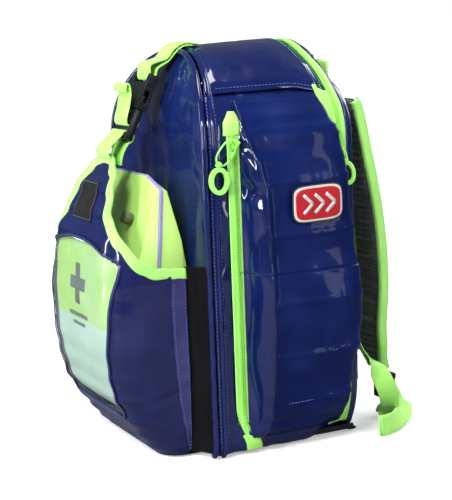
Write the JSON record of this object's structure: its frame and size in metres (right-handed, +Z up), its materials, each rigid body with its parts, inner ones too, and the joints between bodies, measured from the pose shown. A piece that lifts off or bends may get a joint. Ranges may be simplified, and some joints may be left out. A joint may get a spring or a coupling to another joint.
{
  "type": "trauma backpack",
  "caption": "Arched emergency backpack in glossy navy fabric with a defibrillator pocket, zipped side pockets and a padded harness.",
  "frame": {"origin": "middle of the base's underside", "axes": "+Z up, +X towards the side with the badge, -Y towards the front pocket"},
  "size_m": [0.3548, 0.385, 0.492],
  "materials": {
    "navy_tarpaulin": "glossy coated fabric",
    "navy_quilted": "glossy coated fabric with stitched channels",
    "black_stretch": "matt stretch mesh",
    "black_fabric": "coated fabric",
    "air_mesh": "ribbed spacer mesh",
    "lime_tape": "woven tape",
    "lime_webbing": "woven webbing",
    "lime_cord": "braided cord",
    "lime_rubber": "satin",
    "lime_coated_metal": "satin",
    "black_plastic": "satin moulded",
    "grey_board": "plain sheet",
    "liner_cloth": "thin lining",
    "clear_vinyl": "clear film",
    "lime_case": "satin moulded",
    "lilac_gasket": "satin",
    "dark_knob": "satin",
    "black_label": "woven label",
    "red_badge": "moulded badge with a pale rim"
  },
  "bodies": {
    "case": {"front_panel": "navy_tarpaulin", "top_panel": "navy_tarpaulin", "side_walls": "navy_tarpaulin", "base_panel": "black_fabric", "front_piping": "navy_tarpaulin", "main_zip_tape_front": "lime_tape", "wall_zip_tapes": "lime_tape", "zip_garages": "lime_webbing", "pocket_face": "navy_tarpaulin", "pocket_sides": "navy_tarpaulin", "pocket_floor": "navy_tarpaulin", "pocket_gussets": "black_stretch", "pocket_window": "clear_vinyl", "pocket_binding": "lime_tape", "pocket_flap": "navy_tarpaulin", "flap_label": "black_label", "aed_case_front": "lime_case", "aed_case_back": "lime_case", "aed_gasket": "lilac_gasket", "aed_latch_knob": "dark_knob", "lower_webbing": "lime_webbing", "upper_webbing": "lime_webbing", "buckle_socket": "black_plastic", "inner_organiser": "liner_cloth"},
    "buckle_tongue": {"buckle_tongue": "black_plastic", "strap_tail": "lime_webbing"},
    "back": {"back_liner": "liner_cloth", "frame_board": "grey_board", "back_skin": "navy_tarpaulin", "main_zip_tape_back": "lime_tape", "back_pads": "air_mesh", "lumbar_pad": "air_mesh", "harness_yoke": "navy_tarpaulin", "strap_anchors": "navy_tarpaulin"},
    "grab_handle": {"grab_handle": "lime_webbing"},
    "strap_right": {"strap_pad_right": "air_mesh", "ladder_lock_right": "black_plastic", "lower_strap_webbing_right": "lime_webbing", "strap_keeper_right": "black_plastic"},
    "side_pocket_right": {"side_pocket_panel_right": "navy_quilted", "side_pocket_gusset_right": "navy_tarpaulin", "pocket_zip_tape_right": "lime_tape", "side_badge": "red_badge"},
    "side_slider_right": {"side_slider_right": "lime_coated_metal", "pull_cord_right": "lime_cord"},
    "side_pull_right": {"ring_pull_right": "lime_rubber"},
    "main_slider_right": {"main_slider_right": "lime_coated_metal"},
    "main_pull_right": {"main_pull_right": "lime_rubber"},
    "strap_left": {"strap_pad_left": "air_mesh", "ladder_lock_left": "black_plastic", "lower_strap_webbing_left": "lime_webbing", "strap_keeper_left": "black_plastic"},
    "side_pocket_left": {"side_pocket_panel_left": "navy_quilted", "side_pocket_gusset_left": "navy_tarpaulin", "pocket_zip_tape_left": "lime_tape"},
    "side_slider_left": {"side_slider_left": "lime_coated_metal", "pull_cord_left": "lime_cord"},
    "side_pull_left": {"ring_pull_left": "lime_rubber"},
    "main_slider_left": {"main_slider_left": "lime_coated_metal"},
    "main_pull_left": {"main_pull_left": "lime_rubber"}
  },
  "joints": [
    {"name": "main_opening", "type": "hinge", "parent": "case", "child": "back", "pos_m": [0, 0.104, 0.006], "axis": [-1, 0, 0], "range_deg": [0, 95]},
    {"name": "grab_handle_tip", "type": "hinge", "parent": "back", "child": "grab_handle", "pos_m": [0, 0.1045, 0.4465], "axis": [1, 0, 0], "range_deg": [-35, 35], "stiffness_Nm_per_rad": 0.3},
    {"name": "buckle_release", "type": "slide", "parent": "case", "child": "buckle_tongue", "axis": [0, -0.454, -0.891], "range_m": [0, 0.026], "deforming": ["lower_webbing"]},
    {"name": "strap_swing_right", "type": "hinge", "parent": "back", "child": "strap_right", "pos_m": [0.09, 0.113, 0.413], "axis": [1, 0, 0], "range_deg": [0, 35]},
    {"name": "side_pocket_right_door", "type": "hinge", "parent": "case", "child": "side_pocket_right", "pos_m": [0.141, 0.076, 0.22], "axis": [0, 0, 1], "range_deg": [0, 28]},
    {"name": "side_zip_right", "type": "slide", "parent": "case", "child": "side_slider_right", "axis": [0, 0, -1], "range_m": [0, 0.29]},
    {"name": "side_pull_right_swing", "type": "hinge", "parent": "side_slider_right", "child": "side_pull_right", "pos_m": [0.1472, -0.08506, 0.35195], "axis": [0, -0.766, 0.6428], "range_deg": [0, 58]},
    {"name": "main_zip_right", "type": "slide", "parent": "case", "child": "main_slider_right", "axis": [0, 0, -1], "range_m": [0, 0.28]},
    {"name": "main_pull_right_swing", "type": "hinge", "parent": "main_slider_right", "child": "main_pull_right", "pos_m": [0.14535, 0.09, 0.352], "axis": [0, -1, 0], "range_deg": [0, 80]},
    {"name": "strap_swing_left", "type": "hinge", "parent": "back", "child": "strap_left", "pos_m": [-0.09, 0.113, 0.413], "axis": [1, 0, 0], "range_deg": [0, 35]},
    {"name": "side_pocket_left_door", "type": "hinge", "parent": "case", "child": "side_pocket_left", "pos_m": [-0.141, 0.076, 0.22], "axis": [0, 0, -1], "range_deg": [0, 28]},
    {"name": "side_zip_left", "type": "slide", "parent": "case", "child": "side_slider_left", "axis": [0, 0, -1], "range_m": [0, 0.29]},
    {"name": "side_pull_left_swing", "type": "hinge", "parent": "side_slider_left", "child": "side_pull_left", "pos_m": [-0.1472, -0.08506, 0.35195], "axis": [0, 0.766, -0.6428], "range_deg": [0, 58]},
    {"name": "main_zip_left", "type": "slide", "parent": "case", "child": "main_slider_left", "axis": [0, 0, -1], "range_m": [0, 0.28]},
    {"name": "main_pull_left_swing", "type": "hinge", "parent": "main_slider_left", "child": "main_pull_left", "pos_m": [-0.14535, 0.09, 0.352], "axis": [0, 1, 0], "range_deg": [0, 80]}
  ]
}
